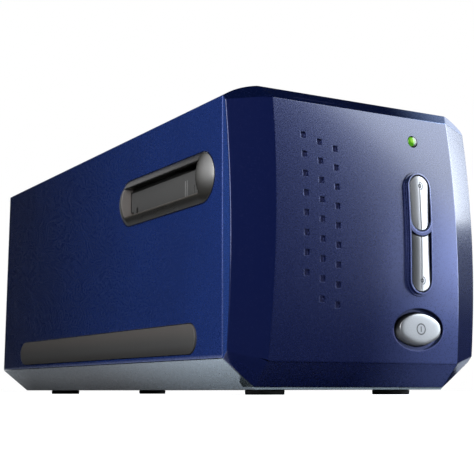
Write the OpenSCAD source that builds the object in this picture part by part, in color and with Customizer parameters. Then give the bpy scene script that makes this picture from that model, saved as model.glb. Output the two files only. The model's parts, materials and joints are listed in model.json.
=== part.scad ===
// Film negative scanner: a desktop scanner that takes a film holder through a slot from side to side.
// X runs across the front, Y from the front (-) to the rear (+), Z up from the table. Sizes are in millimetres.

/* [Casing] */
// Width across the flat sides of the casing
body_w = 120; // [117:1:124]
// Height from the table to the crown of the top
body_h = 119; // [118:0.5:124]
// Depth from the front of the button plinth to the rear edge
body_d = 276; // [274:1:290]
// Wall of the moulded casings
wall = 2.4; // [2.2:0.1:2.8]
// Gap between casings that meet
seam = 0.2; // [0.1:0.05:0.25]
// Width of the slanted cut along each lower edge
cut_w = 14.5; // [13.5:0.5:15]
// Height of the slanted cut along each lower edge
cut_h = 11.5; // [10.5:0.5:12]
// Width of the rounded shoulder along each upper edge
crown_w = 14; // [11:0.5:17]
// Drop of the rounded shoulder from the crown to the side
crown_drop = 4.5; // [3:0.25:5.5]
// How far the rear leans forward at the top
rear_rake = 3; // [0:0.5:4]
// How far the rear panel sits inside the rear edge
rear_inset = 1.2; // [0.6:0.2:2]
// Thickness of the rear panel
panel_t = 2.2; // [1.8:0.2:2.6]
// Height of the rubber feet
foot_h = 2; // [1.5:0.25:2.5]
// Diameter of the rubber feet
foot_d = 15.8; // [13:0.2:16.2]
// Distance of the front feet from the middle
foot_front_x = 31.5; // [26:0.5:32]
// Distance of the rear feet from the middle
foot_rear_x = 27.8; // [24:0.5:31]

/* [Front bezel] */
// Depth of the bezel from its parting line to the front of its bulged face
bezel_d = 13.6; // [13.4:0.2:14.6]
// Radius of the bulge of the front face
face_r = 350; // [340:10:420]
// Height of the middle of the bulge
face_z = 63.25; // [62:0.25:64.5]
// Angle of the side bevels to the front face
side_bevel = 26; // [24:0.5:28]
// Radius of the bulge of the side bevels
bevel_r = 400; // [380:10:440]
// Tilt of the side bevels, which narrows the face towards its top
bevel_tilt = 0.63; // [0:0.07:1.05]
// How far the side bevels start behind the front of the face
bevel_back = 7.6; // [7:0.1:8.2]
// Width of the bevel along the top of the face
top_bevel = 5; // [4:0.25:6]
// Width of the bevel along the bottom of the face
foot_bevel = 9.6; // [8.6:0.2:9.8]
// Side of the square dimples
dimple = 2.4; // [1.6:0.1:3]
// Depth of the square dimples
dimple_d = 1.2; // [0.6:0.1:1.4]
// Distance between dimples in a column
dimple_pitch = 7.7; // [6.5:0.1:7.8]
// Distance between the columns of dimples
dimple_step = 7.35; // [6:0.05:7.5]
// Distance of the outer column of dimples to the left of the middle
dimple_x = 30.5; // [28:0.25:32]

/* [Buttons] */
// How far the button plinth stands out of the face
plinth_h = 4; // [3.6:0.2:4.4]
// Rim of the button plinth round its buttons
plinth_rim = 0.7; // [0.6:0.1:1]
// Distance of the scan buttons to the right of the middle
button_x = 22.3; // [21:0.25:23]
// Width of the scan buttons
button_w = 9.4; // [8.8:0.1:9.6]
// Height of the lower end of the upper scan button above the table
upper_z = 66.1; // [65:0.5:67.5]
// Height of the upper scan button
upper_h = 22.5; // [21:0.25:23]
// Height of the lower scan button at its middle
lower_h = 22.1; // [21:0.25:22.6]
// Distance between the two scan buttons
nest = 2.8; // [2.6:0.1:3.2]
// Gap round every button
button_gap = 0.4; // [0.3:0.05:0.45]
// Travel of the buttons
travel = 0.9; // [0.6:0.1:1]
// Distance of the power button to the right of the middle
power_x = 24.6; // [23:0.2:26]
// Height of the middle of the power button
power_z = 26.1; // [25.5:0.1:26.7]
// Width of the power button
power_w = 21.6; // [19:0.2:22]
// Height of the power button
power_h = 13.2; // [12:0.2:13.6]
// Margin of the dish round the power button
dish_rim = 1.8; // [1.4:0.1:2]
// Depth of the dish round the power button
dish_d = 1.8; // [1.4:0.1:2.2]
// How far the power button stands out of its dish
power_rise = 3.4; // [2.6:0.1:3.8]
// Diameter of the status light
light_d = 4.5; // [3.5:0.1:5]
// Distance of the status light to the right of the middle
light_x = 24; // [22:0.25:26]
// Height of the status light
light_z = 103.6; // [102.5:0.1:104.5]

/* [Film slot] */
// Length of the slot, front to rear
slot_l = 70.4; // [69:0.2:71]
// Height of the slot
slot_h = 12.6; // [12:0.1:12.8]
// Height of the middle of the slot above the table
slot_z = 84.9; // [84:0.1:85.5]
// Distance of the middle of the slot behind the parting line
slot_back = 50.3; // [50:0.1:51]
// Rim of the surround above and below the slot
rim_z = 4; // [3.9:0.1:4.6]
// Rim of the surround at the ends of the slot
rim_y = 9; // [8:0.25:9]
// How far the surround stands out of the side
surround_rise = 4; // [3.2:0.2:4.6]
// Thickness of the dust flaps
flap_t = 1.6; // [1.2:0.1:1.7]
// Gap round the dust flaps
flap_gap = 0.6; // [0.4:0.05:0.8]
// Radius of the flap hinge pins
pin_r = 0.6; // [0.5:0.05:0.7]
// Radial clearance of every turning or sliding fit
run = 0.05; // [0.03:0.01:0.08]

/* [Side grips] */
// Length of the rubber grip on each side
grip_l = 206; // [190:1:210]
// Height of the rubber grip
grip_h = 12; // [10.5:0.5:13]
// How far the grip stands out of the side
grip_rise = 0.8; // [0.4:0.1:1.2]
// Depth of the pocket that the grip is set in
pocket_d = 1.2; // [0.8:0.1:1.4]

/* [Scan mechanism] */
// Travel of the scan carriage
scan_travel = 32; // [26:1:32]
// Diameter of the guide rods
rod_d = 6; // [5:0.5:6.5]
// Distance of the guide rods from the middle
rod_x = 32; // [31.5:0.25:32.5]
// Length of the optics tray
tray_l = 124; // [122:1:128]
// Width of the optics tray
tray_w = 52; // [50:0.5:53]
// Height of the optics tray
tray_h = 30; // [28:0.5:32]
// Thickness of the tray walls
tray_t = 2; // [1.6:0.1:2.4]
// Diameter of the lens barrel
lens_d = 20; // [17:0.5:21]
// Radius of the belt pulleys
pulley_r = 6; // [5.5:0.25:6.25]
// Width of the belt
belt_w = 6; // [5:0.25:6.5]
// Thickness of the belt
belt_t = 1.2; // [1:0.1:1.4]
// Module of the gear teeth
tooth_m = 0.6; // [0.5:0.05:0.6]
// Teeth of the motor pinion
pinion_teeth = 15; // [12:3:15]
// Teeth of the belt gear
gear_teeth = 45; // [36:3:48]
// Diameter of the motor
motor_d = 28; // [24:1:29]
// Thickness of the steel brackets
sheet = 1.6; // [1.2:0.1:2]

/* [Hidden] */

far = 400;
fine = 96;

// Main places
half_w = body_w / 2;
front_y = -body_d / 2;
rear_y = body_d / 2;
face_y = front_y + plinth_h;
parting_y = face_y + bezel_d;
slot_y = parting_y + slot_back;
cut_top = foot_h + cut_h;
floor_z = foot_h + wall;
bezel_foot = foot_h + 0.9;
rake = atan(rear_rake / (body_h - foot_h));
function rear_at(z, i) = rear_y - i - rear_rake * (z - foot_h) / (body_h - foot_h);
function face_at(z) = face_y + face_r - sqrt(pow(face_r, 2) - pow(z - face_z, 2));

// Outline of the casing: the lower cuts are lines at a distance, the shoulders are arcs
cut_len = norm([cut_w, cut_h]);
cut_nx = cut_h / cut_len;
cut_nz = -cut_w / cut_len;
cut_c = cut_nx * half_w + cut_nz * cut_top;
crown_r = (pow(crown_w, 2) + pow(crown_drop, 2)) / (2 * crown_drop);
function cut_z(x, i) = (cut_c - i - cut_nx * x) / cut_nz;
function cut_x(z, i) = (cut_c - i - cut_nz * z) / cut_nx;
function shoulder_z(i) = body_h - crown_r + sqrt(pow(crown_r - i, 2) - pow(crown_w - i, 2));

// Case screws, from below through the pan into tabs of the shell
screw_r = 1.5;
head_r = 2.8;
head_h = 1.2;
case_x = cut_x(foot_h, 0) - 6;
case_y = [parting_y + 7, rear_y - 22];
tab_z = cut_top + 3;
tab_h = 4;
tab_w = 9;
boss_r = 4;

// Feet
foot_front_y = parting_y + 16.2;
foot_rear_y = rear_y - 16;
foot_places = [
  [-foot_front_x, foot_front_y], [foot_front_x, foot_front_y],
  [-foot_rear_x, foot_rear_y], [foot_rear_x, foot_rear_y]
];
foot_peg_r = 2;

// Grips
grip_y = (parting_y + rear_y) / 2 - 5.3;
grip_z = cut_top + 2.4 + grip_h / 2;
grip_gap = 0.15;

// Slot, surround and flap, on the right side
slot_low = slot_z - slot_h / 2;
slot_top = slot_z + slot_h / 2;
slot_front = slot_y - slot_l / 2;
slot_rear = slot_y + slot_l / 2;
flap_face = half_w - 0.5;
flap_low = slot_low + flap_gap;
flap_top = slot_top - 2 * flap_gap;
barrel_r = pin_r + 0.7;
hinge_x = flap_face - flap_t - 0.7;
hinge_z = slot_top + barrel_r - 0.6;
collar_wall = 1;
collar_x = hinge_x - barrel_r - 2;
collar_top = hinge_z + barrel_r + 0.2;
flap_reach = norm([flap_face - hinge_x, hinge_z - flap_low]);
surround_h = slot_h + 2 * rim_z;
surround_l = slot_l + 2 * rim_y;
surround_r = (pow(surround_h / 2, 2) + pow(surround_rise, 2)) / (2 * surround_rise);

// Buttons, switches and light
bulge_r = face_r + plinth_h;
upper_mid = upper_z + upper_h / 2;
lower_low = upper_z - nest - lower_h;
lower_mid = lower_low + lower_h / 2;
nest_r = button_w / 2 + nest;
flange_y = face_y + wall + 3;
flange_rim = 1.2;
dish_y = face_at(power_z) + dish_d;
stem_r = 1.8;
switch_y = parting_y + 1;
board_t = 1.6;
switch_d = 3.5;
plunger_y = switch_y - switch_d - 1.2;
stem_y = plunger_y - travel - 0.15;
led_y = switch_y - 3;
board_boss_x = [button_x - 11, button_x + 11];
board_boss_z = [lower_low - 3, light_z - 6.6];

// Chassis and rods
chassis_z = floor_z + 3.6;
deck_z = chassis_z + sheet;
chassis_x = cut_x(chassis_z, wall) - 2.2;
chassis_front = case_y[0] + boss_r + 1;
chassis_rear = case_y[1] - boss_r - 1;
chassis_boss_x = 40;
chassis_boss_y = [slot_y, chassis_rear - 8];
rod_r = rod_d / 2;
rod_z = deck_z + 10.4;
rod_front = chassis_front + 1;
rod_rear = rod_front + 180;

// Tunnel
tunnel_t = 1.6;
tunnel_x = hinge_x - flap_reach - 0.6;
leg_t = 2;
gate = 20;

// Carriage, at its rear stop
scan_y = slot_y + scan_travel / 2;
tray_z = deck_z + 4.4;
tray_top = tray_z + tray_h;
tray_front = scan_y - 13.5;
tray_rear = tray_front + tray_l;
tray_x = tray_w / 2;
optic_z = tray_z + 14;
ear_y = [tray_front + 22, tray_rear - 30];
ear_l = 12;
ear_r = rod_r + 2;
arm_t = 4;
arm_front = slot_rear + tunnel_t + scan_travel + 2;
arm_rear = arm_front + 10;
beam_z = slot_top + tunnel_t + 4;
beam_top = beam_z + 8;
lamp_front = scan_y - 9;
lamp_rear = scan_y + 9;
lamp_r = 9;
lamp_z = beam_top - 5;
lamp_t = 1.6;
mirror_l = 26;
mirror_t = 2;
lens_front = arm_front + 2;
lens_l = 24;

// Belt drive
belt_gap = 0.3;
pulley_flange = 1;
belt_x = tunnel_x - leg_t - 0.7 - belt_w / 2;
belt_z = tray_z + 24;
drive_y = rod_rear + 17;
idler_y = slot_front + 14;
gear_x = belt_x + belt_w / 2 + pulley_flange + 1;
gear_w = 4;
axle_r = 1.5;
gear_r = gear_teeth * tooth_m / 2;
pinion_r = pinion_teeth * tooth_m / 2;
mesh_angle = 45;
motor_y = drive_y + (gear_r + pinion_r) * cos(mesh_angle);
motor_z = belt_z - (gear_r + pinion_r) * sin(mesh_angle);
motor_l = 34;
bracket_x = belt_x - belt_w / 2 - pulley_flange - 0.3;
idler_bracket_x = belt_x + belt_w / 2 + pulley_flange + 0.3;

// Boards and sockets
board_y = rear_at(60, rear_inset) - 17.6;
board_low = motor_z + motor_d / 2 + 5;
board_high = shoulder_z(wall) - 6;
board_x = 46;
standoff_x = [4 - board_x, board_x - 4];
standoff_z = [board_low + 4, board_high - 4];
usb = [12, 16, 10.9];
usb_x = -24;
inlet = [9, 14.5, 11];
inlet_x = 4;
port_z = board_low + 12;
socket_gap = 0.3;

// ---------- Shared shapes ----------
module block(x0, x1, y0, y1, z0, z1) {
  translate([x0, y0, z0]) cube([x1 - x0, y1 - y0, z1 - z0]);
}

module rise_y(y0, y1) {
  translate([0, y1, 0]) rotate([90, 0, 0]) linear_extrude(y1 - y0) children();
}

module bar_x(r, x0, x1, y, z) {
  translate([x0, y, z]) rotate([0, 90, 0]) cylinder(r = r, h = x1 - x0, $fn = fine);
}

module bar_y(r, x, y0, y1, z) {
  translate([x, y1, z]) rotate([90, 0, 0]) cylinder(r = r, h = y1 - y0, $fn = fine);
}

module bar_z(r, x, y, z0, z1) {
  translate([x, y, z0]) cylinder(r = r, h = z1 - z0, $fn = fine);
}

module at_side(side) {
  if (side > 0) children();
  else mirror([1, 0, 0]) children();
}

// The casing's cross-section, drawn in by i
module outline(i) {
  x = half_w - i;
  shoulder = shoulder_z(i);
  foot = foot_h + i;
  polygon([
    [-cut_x(foot, i), foot], [cut_x(foot, i), foot],
    [x, cut_z(x, i)], [x, shoulder], [-x, shoulder], [-x, cut_z(x, i)]
  ]);
  intersection() {
    translate([-x, shoulder - crown_drop]) square([2 * x, 2 * crown_drop]);
    union() {
      for (side = [-1, 1])
        translate([side * (half_w - crown_w), body_h - crown_r])
          circle(r = crown_r - i, $fn = 180);
      translate([crown_w - half_w, body_h - crown_r])
        square([2 * (half_w - crown_w), crown_r - i]);
    }
  }
}

// An upright slot shape with round ends
module stadium(w, h) {
  square([w, h - w], center = true);
  for (end = [-1, 1]) translate([0, end * (h - w) / 2]) circle(d = w, $fn = fine);
}

// An oval of four arcs: its ends have the radius end_r, its long sides the radius that blends with them
module oval(w, h, end_r) {
  a = w / 2 - end_r;
  b = h / 2;
  side_r = (a * a + b * b - end_r * end_r) / (2 * (b - end_r));
  blend_x = a * side_r / (side_r - end_r);
  intersection() {
    translate([0, b - side_r]) circle(r = side_r, $fn = 180);
    translate([0, side_r - b]) circle(r = side_r, $fn = 180);
    square([2 * blend_x, h], center = true);
  }
  for (end = [-1, 1]) translate([end * a, 0]) circle(r = end_r, $fn = fine);
}

// All that lies behind the leaning rear, drawn forward by i
module behind_rear(i) {
  translate([0, rear_y - i, foot_h]) rotate([rake, 0, 0])
    translate([-far / 2, 0, -far / 2]) cube(far);
}

// All that lies in front of the leaning rear, drawn forward by i
module before_rear(i) {
  translate([0, rear_y - i, foot_h]) rotate([rake, 0, 0])
    translate([-far / 2, -far, -far / 2]) cube(far);
}

// All that lies behind a plane through a point, drawn in by i; its normal is -Y turned by az and raised by el
module behind(point, az, el, i) {
  translate(point) rotate([0, 0, az]) rotate([-el, 0, 0])
    translate([-far / 2, i, -far / 2]) cube(far);
}

// ---------- Casing ----------
module grip_shape(i) {
  translate([0, grip_y, grip_z]) rotate([90, 0, 90]) linear_extrude(far / 2)
    rotate(90) stadium(grip_h - 2 * i, grip_l - 2 * i);
}

module shell_tab(y) {
  block(case_x - tab_w / 2, half_w - wall / 2, y - tab_w / 2, y + tab_w / 2, tab_z, tab_z + tab_h);
}

module collar_hole() {
  margin = collar_wall + seam;
  block(half_w - wall - 1, half_w + 1, slot_front - margin, slot_rear + margin,
    slot_low - margin, collar_top + margin);
}

module upper_shell() {
  rib_low = body_h - wall - 1.4;
  color([0.1, 0.16, 0.36]) difference() {
    union() {
      difference() {
        rise_y(parting_y + seam, rear_y) outline(0);
        rise_y(parting_y - 1, rear_y + 1) outline(wall);
        block(-body_w, body_w, front_y, rear_y + 2, -1, cut_top + seam);
      }
      for (side = [-1, 1], y = case_y) at_side(side) shell_tab(y);
      for (x = [-half_w / 2, 0, half_w / 2])
        block(x - 0.8, x + 0.8, parting_y + 8, rear_at(body_h, 8), rib_low, body_h - wall / 2);
    }
    for (side = [-1, 1]) at_side(side) {
      collar_hole();
      translate([half_w - pocket_d, 0, 0]) grip_shape(-grip_gap);
      for (y = case_y) bar_z(screw_r, case_x, y, tab_z - 1, tab_z + tab_h + 1);
    }
    behind_rear(0);
  }
}

module base_pan() {
  lip_x = cut_x(cut_top + seam, wall) - seam;
  color([0.45, 0.49, 0.54]) difference() {
    union() {
      difference() {
        rise_y(parting_y + seam, rear_y) outline(0);
        rise_y(parting_y - 1, rear_y + 1) outline(wall);
        block(-body_w, body_w, front_y, rear_y + 2, cut_top, body_h + 1);
      }
      for (side = [-1, 1]) at_side(side) {
        block(lip_x - 1.6, lip_x, parting_y + 6, rear_y - 8, cut_top - 1.2, tab_z - 0.3);
        for (y = case_y) bar_z(boss_r, case_x, y, floor_z - 1, tab_z);
        for (y = chassis_boss_y) bar_z(boss_r, chassis_boss_x, y, floor_z - 1, chassis_z);
      }
    }
    for (side = [-1, 1]) at_side(side) {
      for (y = case_y) {
        bar_z(screw_r + 0.2, case_x, y, 0, tab_z + 1);
        bar_z(head_r + 0.3, case_x, y, 0, foot_h + 0.2 + head_h);
      }
      for (y = chassis_boss_y) bar_z(screw_r, chassis_boss_x, y, foot_h + 1, chassis_z + 1);
    }
    for (p = foot_places) bar_z(foot_peg_r + 0.05, p[0], p[1], 0, floor_z + 1);
    behind_rear(0);
  }
}

module socket_hole(x, size) {
  block(x - size[0] / 2 - socket_gap, x + size[0] / 2 + socket_gap, board_y, rear_y + 1,
    port_z - socket_gap, port_z + size[2] + socket_gap);
}

module rear_panel() {
  color([0.12, 0.13, 0.16]) difference() {
    union() {
      difference() {
        rise_y(parting_y, rear_y) outline(wall + seam);
        before_rear(rear_inset + panel_t);
        behind_rear(rear_inset);
      }
      for (x = standoff_x, z = standoff_z)
        bar_y(3, x, board_y + board_t, rear_at(z, rear_inset + panel_t / 2), z);
    }
    socket_hole(usb_x, usb);
    socket_hole(inlet_x, inlet);
  }
}

// ---------- Front bezel ----------
module rolled(r, i) {
  translate([-far / 2, r, 0]) rotate([0, 90, 0]) cylinder(r = r - i, h = far, $fn = 360);
}

module side_roll(side, i) {
  translate([side * half_w, face_y + bevel_back, face_z])
    rotate([0, 0, side * side_bevel]) rotate([-bevel_tilt, 0, 0]) rolled(bevel_r, i);
}

// The bulged, faceted front, drawn in by i
module bezel_form(i, back) {
  top_z = body_h - top_bevel;
  foot_z = bezel_foot + foot_bevel;
  face_x = half_w - bevel_back / tan(side_bevel);
  intersection() {
    rise_y(front_y, back) outline(i);
    translate([0, face_y, face_z]) rolled(face_r, i);
    side_roll(-1, i);
    side_roll(1, i);
    behind([0, face_at(top_z), top_z], 0, 45, i);
    behind([0, face_at(foot_z), foot_z], 0, -45, i);
    behind([1.1 - face_x, face_at(top_z), top_z + 0.2], -28, 27.7, i);
    behind([face_x - 1.1, face_at(top_z), top_z + 0.2], 28, 27.7, i);
    behind([-face_x - 1.6, face_at(foot_z), foot_z], -35.6, -39.3, i);
    behind([face_x + 1.6, face_at(foot_z), foot_z], 35.6, -39.3, i);
    block(-far, far, front_y - 1, rear_y, bezel_foot, far);
  }
}

module upper_outline(i) {
  translate([button_x, upper_mid]) stadium(button_w - 2 * i, upper_h - 2 * i);
}

module lower_outline(i) {
  w = button_w - 2 * i;
  end_z = lower_low + button_w / 2;
  difference() {
    union() {
      translate([button_x, end_z]) circle(d = w, $fn = fine);
      translate([button_x - w / 2, end_z]) square([w, upper_z - end_z]);
    }
    translate([button_x, upper_z + button_w / 2]) circle(r = nest_r + i, $fn = fine);
  }
}

module plinth_outline(grow) {
  low = lower_low - button_gap - plinth_rim;
  high = upper_z + upper_h + button_gap + plinth_rim;
  w = button_w + 2 * (button_gap + plinth_rim);
  translate([button_x, (low + high) / 2]) stadium(w + 2 * grow, high - low + 2 * grow);
}

module power_outline(i) {
  translate([power_x, power_z]) oval(power_w - 2 * i, power_h - 2 * i, 4.6 - i);
}

// A step of the plinth: an outline that stands out of the face by h
module plinth_step(h) {
  intersection() {
    rise_y(front_y, face_y + wall) children();
    translate([0, face_y - h, face_z]) rolled(face_r + h, 0);
  }
}

module dimples() {
  for (column = [0, 1, 2]) {
    count = column == 0 ? 8 : 9;
    for (row = [0 : count - 1]) {
      x = column * dimple_step - dimple_x;
      z = 100 - 2 * column - row * dimple_pitch;
      block(x - dimple / 2, x + dimple / 2, front_y, face_at(z) + dimple_d,
        z - dimple / 2, z + dimple / 2);
    }
  }
}

// Lip along the sides and the top that plugs into the upper shell
module bezel_lip() {
  i = wall + seam;
  difference() {
    union() {
      intersection() {
        bezel_form(wall / 2, parting_y);
        block(-far, far, parting_y - 3, parting_y, 0, far);
      }
      rise_y(parting_y - 3, parting_y + 4.6) outline(i);
    }
    rise_y(parting_y - 4, parting_y + 6) outline(i + 1.6);
    block(-far, far, front_y, rear_y, -1, tab_z + tab_h + 1);
  }
}

module front_bezel() {
  color([0.36, 0.37, 0.62]) difference() {
    union() {
      difference() {
        union() {
          bezel_form(0, parting_y);
          plinth_step(plinth_h) plinth_outline(0);
          plinth_step(1.2) plinth_outline(0.8);
        }
        bezel_form(wall, parting_y + 1);
      }
      intersection() {
        rise_y(face_y, dish_y + wall) power_outline(-dish_rim - 1.2);
        bezel_form(wall / 2, parting_y);
      }
      for (x = board_boss_x, z = board_boss_z) bar_y(2.4, x, face_at(z) + wall / 2, switch_y, z);
      bezel_lip();
    }
    rise_y(front_y - 1, flange_y + 2) upper_outline(-button_gap);
    rise_y(front_y - 1, flange_y + 2) lower_outline(-button_gap);
    rise_y(front_y - 1, dish_y) power_outline(-dish_rim);
    rise_y(front_y - 1, dish_y + wall + 1) power_outline(-button_gap);
    bar_y(light_d / 2 + 0.2, light_x, front_y, flange_y + 2, light_z);
    dimples();
  }
}

// ---------- Slot surrounds and dust flaps, drawn on the right side ----------
module surround_dome() {
  reach = surround_l - surround_h + 2 * surround_r;
  intersection() {
    translate([half_w + surround_rise - surround_r, slot_y, slot_z]) rotate([90, 0, 0])
      rotate_extrude($fn = 180) intersection() {
        stadium(2 * surround_r, reach);
        translate([0, -far / 2]) square([far, far]);
      }
    block(half_w, far, slot_y - surround_l, slot_y + surround_l, 0, body_h);
  }
}

module slot_surround() {
  color([0.2, 0.19, 0.18]) difference() {
    union() {
      surround_dome();
      block(collar_x, half_w + 0.5, slot_front - collar_wall, slot_rear + collar_wall,
        slot_low - collar_wall, collar_top + collar_wall);
    }
    block(collar_x - 1, far, slot_front, slot_rear, slot_low, slot_top);
    block(collar_x - 1, hinge_x + barrel_r + 0.2, slot_front, slot_rear, slot_z, collar_top);
    bar_y(pin_r + 0.02, hinge_x, slot_front - collar_wall - 1, slot_rear + collar_wall + 1, hinge_z);
  }
}

module dust_flap() {
  low_y = slot_front + flap_gap;
  high_y = slot_rear - flap_gap;
  inner_x = flap_face - flap_t;
  color([0.3, 0.3, 0.3]) difference() {
    union() {
      block(inner_x, flap_face, low_y, high_y, flap_low, flap_top);
      block(hinge_x - 0.7, inner_x + 0.6, low_y, high_y, flap_top - 1.6, hinge_z);
      bar_y(barrel_r, hinge_x, low_y, high_y, hinge_z);
    }
    bar_y(pin_r + run, hinge_x, low_y - 1, high_y + 1, hinge_z);
    block(inner_x - 1, flap_face + 1, high_y - 3, high_y + 1, flap_low - 1, flap_low + 1.4);
    for (y = [low_y + 5, low_y + 8])
      block(inner_x - 1, flap_face + 1, y, y + 0.8, flap_low - 1, flap_low + 4);
  }
}

module flap_pin() {
  color([0.75, 0.76, 0.78])
    bar_y(pin_r, hinge_x, slot_front - collar_wall, slot_rear + collar_wall, hinge_z);
}

module side_grip() {
  crown = 0.5;
  roll_r = (pow(grip_h / 2, 2) + pow(crown, 2)) / (2 * crown);
  color([0.16, 0.15, 0.16]) intersection() {
    translate([half_w - pocket_d, 0, 0]) grip_shape(0);
    translate([half_w + grip_rise - roll_r, grip_y + grip_l, grip_z])
      rotate([90, 0, 0]) cylinder(r = roll_r, h = 2 * grip_l, $fn = 180);
  }
}

module feet() {
  color([0.08, 0.08, 0.09]) for (p = foot_places) {
    bar_z(foot_d / 2, p[0], p[1], 0, foot_h);
    bar_z(foot_peg_r, p[0], p[1], foot_h / 2, floor_z + 0.6);
  }
}

// ---------- Buttons and light ----------
// The flange behind the wall of the bezel that keeps a button in its well
module button_flange() {
  intersection() {
    rise_y(face_y, flange_y) children();
    translate([0, face_y, face_z]) rolled(face_r, wall + 0.15);
  }
}

// A crowned cap with a groove down its middle
module scan_cap() {
  crest_r = 12;
  difference() {
    intersection() {
      rise_y(front_y, flange_y) children();
      translate([0, front_y, face_z]) rolled(bulge_r, 0.1);
      bar_z(crest_r, button_x, front_y + crest_r, 0, body_h);
    }
    block(button_x - 0.25, button_x + 0.25, front_y - 1, front_y + 0.9, 0, body_h);
  }
}

module scan_button_upper() {
  color([0.72, 0.73, 0.76]) {
    scan_cap() upper_outline(0);
    button_flange() intersection() {
      upper_outline(-flange_rim);
      translate([0, upper_z - nest / 2 + 0.3]) square(far);
    }
    bar_y(stem_r, button_x, flange_y - 1, stem_y, upper_mid);
  }
}

module scan_button_lower() {
  color([0.72, 0.73, 0.76]) {
    scan_cap() lower_outline(0);
    button_flange() intersection() {
      lower_outline(-flange_rim);
      translate([0, upper_z - nest / 2 - 0.3 - far]) square(far);
    }
    bar_y(stem_r, button_x, flange_y - 1, stem_y, lower_mid);
  }
}

module power_button() {
  crest_y = dish_y - power_rise;
  inner_y = dish_y + wall;
  drop = 1.3;
  lead = 0.2;
  roll_x = (pow(power_h / 2, 2) + drop * drop) / (2 * drop);
  roll_z = (pow(power_w / 2, 2) + pow(drop + lead, 2)) / (2 * (drop + lead));
  color([0.42, 0.43, 0.66]) {
    intersection() {
      rise_y(crest_y, inner_y + 1.5) power_outline(0);
      bar_x(roll_x, 0, half_w, crest_y + roll_x, power_z);
      bar_z(roll_z, power_x, crest_y - lead + roll_z, 0, body_h);
    }
    rise_y(inner_y + 0.3, inner_y + 1.5) power_outline(-flange_rim);
    bar_y(stem_r, power_x, inner_y + 1, stem_y, power_z);
  }
}

module status_light() {
  lens_y = face_at(light_z) - 0.6;
  flange = face_at(light_z + light_d / 2 + 1.2) + wall + 0.3;
  color([0.4, 0.8, 0.5]) {
    intersection() {
      bar_y(light_d / 2, light_x, lens_y, lens_y + light_d, light_z);
      translate([light_x, lens_y + light_d, light_z]) sphere(r = light_d, $fn = fine);
    }
    bar_y(light_d / 2, light_x, lens_y + light_d - 0.5, led_y - 0.3, light_z);
    bar_y(light_d / 2 + 1.2, light_x, flange, flange + 1, light_z);
  }
}

module control_board() {
  color([0.1, 0.35, 0.2]) difference() {
    block(button_x - 14, button_x + 14, switch_y, switch_y + board_t, tab_z + tab_h + 0.6, light_z + 4);
    for (x = board_boss_x, z = board_boss_z) bar_y(0.9, x, switch_y - 1, switch_y + board_t + 1, z);
  }
}

module key_switch(x, z) {
  block(x - 3, x + 3, switch_y - switch_d, switch_y, z - 3, z + 3);
  bar_y(1.6, x, plunger_y, switch_y - switch_d + 0.5, z);
}

module key_switches() {
  color([0.15, 0.15, 0.16]) {
    key_switch(button_x, upper_mid);
    key_switch(button_x, lower_mid);
    key_switch(power_x, power_z);
  }
}

module status_led() {
  color([0.7, 0.95, 0.75]) bar_y(1.5, light_x, led_y, switch_y, light_z);
}

// ---------- Film tunnel and chassis ----------
module tunnel_leg(y) {
  block(tunnel_x - leg_t, tunnel_x, y - 4, y + 4, deck_z, slot_low - tunnel_t / 2);
  block(tunnel_x - leg_t, chassis_x, y - 4, y + 4, deck_z, deck_z + 2);
}

module film_tunnel() {
  t = tunnel_t;
  color([0.13, 0.13, 0.14]) difference() {
    union() {
      block(-tunnel_x, tunnel_x, slot_front - t, slot_rear + t, slot_low - t, slot_top + t);
      for (side = [-1, 1], y = [slot_front - t + 4, slot_rear + t - 4]) at_side(side) tunnel_leg(y);
    }
    block(-tunnel_x - 1, tunnel_x + 1, slot_front, slot_rear, slot_low, slot_top);
    block(-gate, gate, slot_y - gate, slot_y + gate, slot_low - t - 1, slot_top + t + 1);
  }
}

module chassis_plate() {
  color([0.6, 0.61, 0.63]) difference() {
    block(-chassis_x, chassis_x, chassis_front, chassis_rear, chassis_z, deck_z);
    for (side = [-1, 1], y = chassis_boss_y)
      bar_z(screw_r + 0.2, side * chassis_boss_x, y, chassis_z - 1, deck_z + 1);
    for (y = [slot_y, slot_y + 75]) bar_z(12, 0, y, chassis_z - 1, deck_z + 1);
  }
}

// A sheet bracket that holds both rods, with its foot towards the middle of the chassis
module rod_bracket(y, foot_y) {
  top = rod_z + rod_r + 3;
  color([0.6, 0.61, 0.63]) difference() {
    union() {
      block(-rod_x - 6, rod_x + 6, y, y + sheet, deck_z, top);
      block(6 - rod_x, rod_x - 6, foot_y, foot_y + 9, deck_z, deck_z + sheet);
    }
    for (side = [-1, 1]) bar_y(rod_r + 0.02, side * rod_x, y - 1, y + sheet + 1, rod_z);
    block(6 - rod_x, rod_x - 6, y - 1, y + sheet + 1, deck_z + 8, top + 1);
  }
}

module guide_rods() {
  color([0.82, 0.83, 0.85]) for (side = [-1, 1])
    bar_y(rod_r, side * rod_x, rod_front, rod_rear, rod_z);
}

// ---------- Scan carriage ----------
module rod_ear(y) {
  block(tray_x - tray_t, rod_x, y - ear_l / 2, y + ear_l / 2, rod_z - ear_r, rod_z + ear_r);
  bar_y(ear_r, rod_x, y - ear_l / 2, y + ear_l / 2, rod_z);
}

// Fork that holds the lower run of the belt
module belt_fork(y) {
  run_low = belt_z - pulley_r - belt_t;
  run_top = belt_z - pulley_r;
  difference() {
    block(tray_x - tray_t, belt_x + belt_w / 2, y - 5, y + 5, run_low - 2.4, run_top + 2.4);
    block(belt_x - belt_w / 2 - belt_gap, far, y - 6, y + 6, run_low - belt_gap, run_top + belt_gap);
  }
}

// All that lies in front of and below the mirror's back
module mirror_back() {
  translate([0, scan_y, optic_z]) rotate([45, 0, 0])
    translate([-far / 2, -far, -far / 2]) cube([far, far - mirror_t, far]);
}

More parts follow.
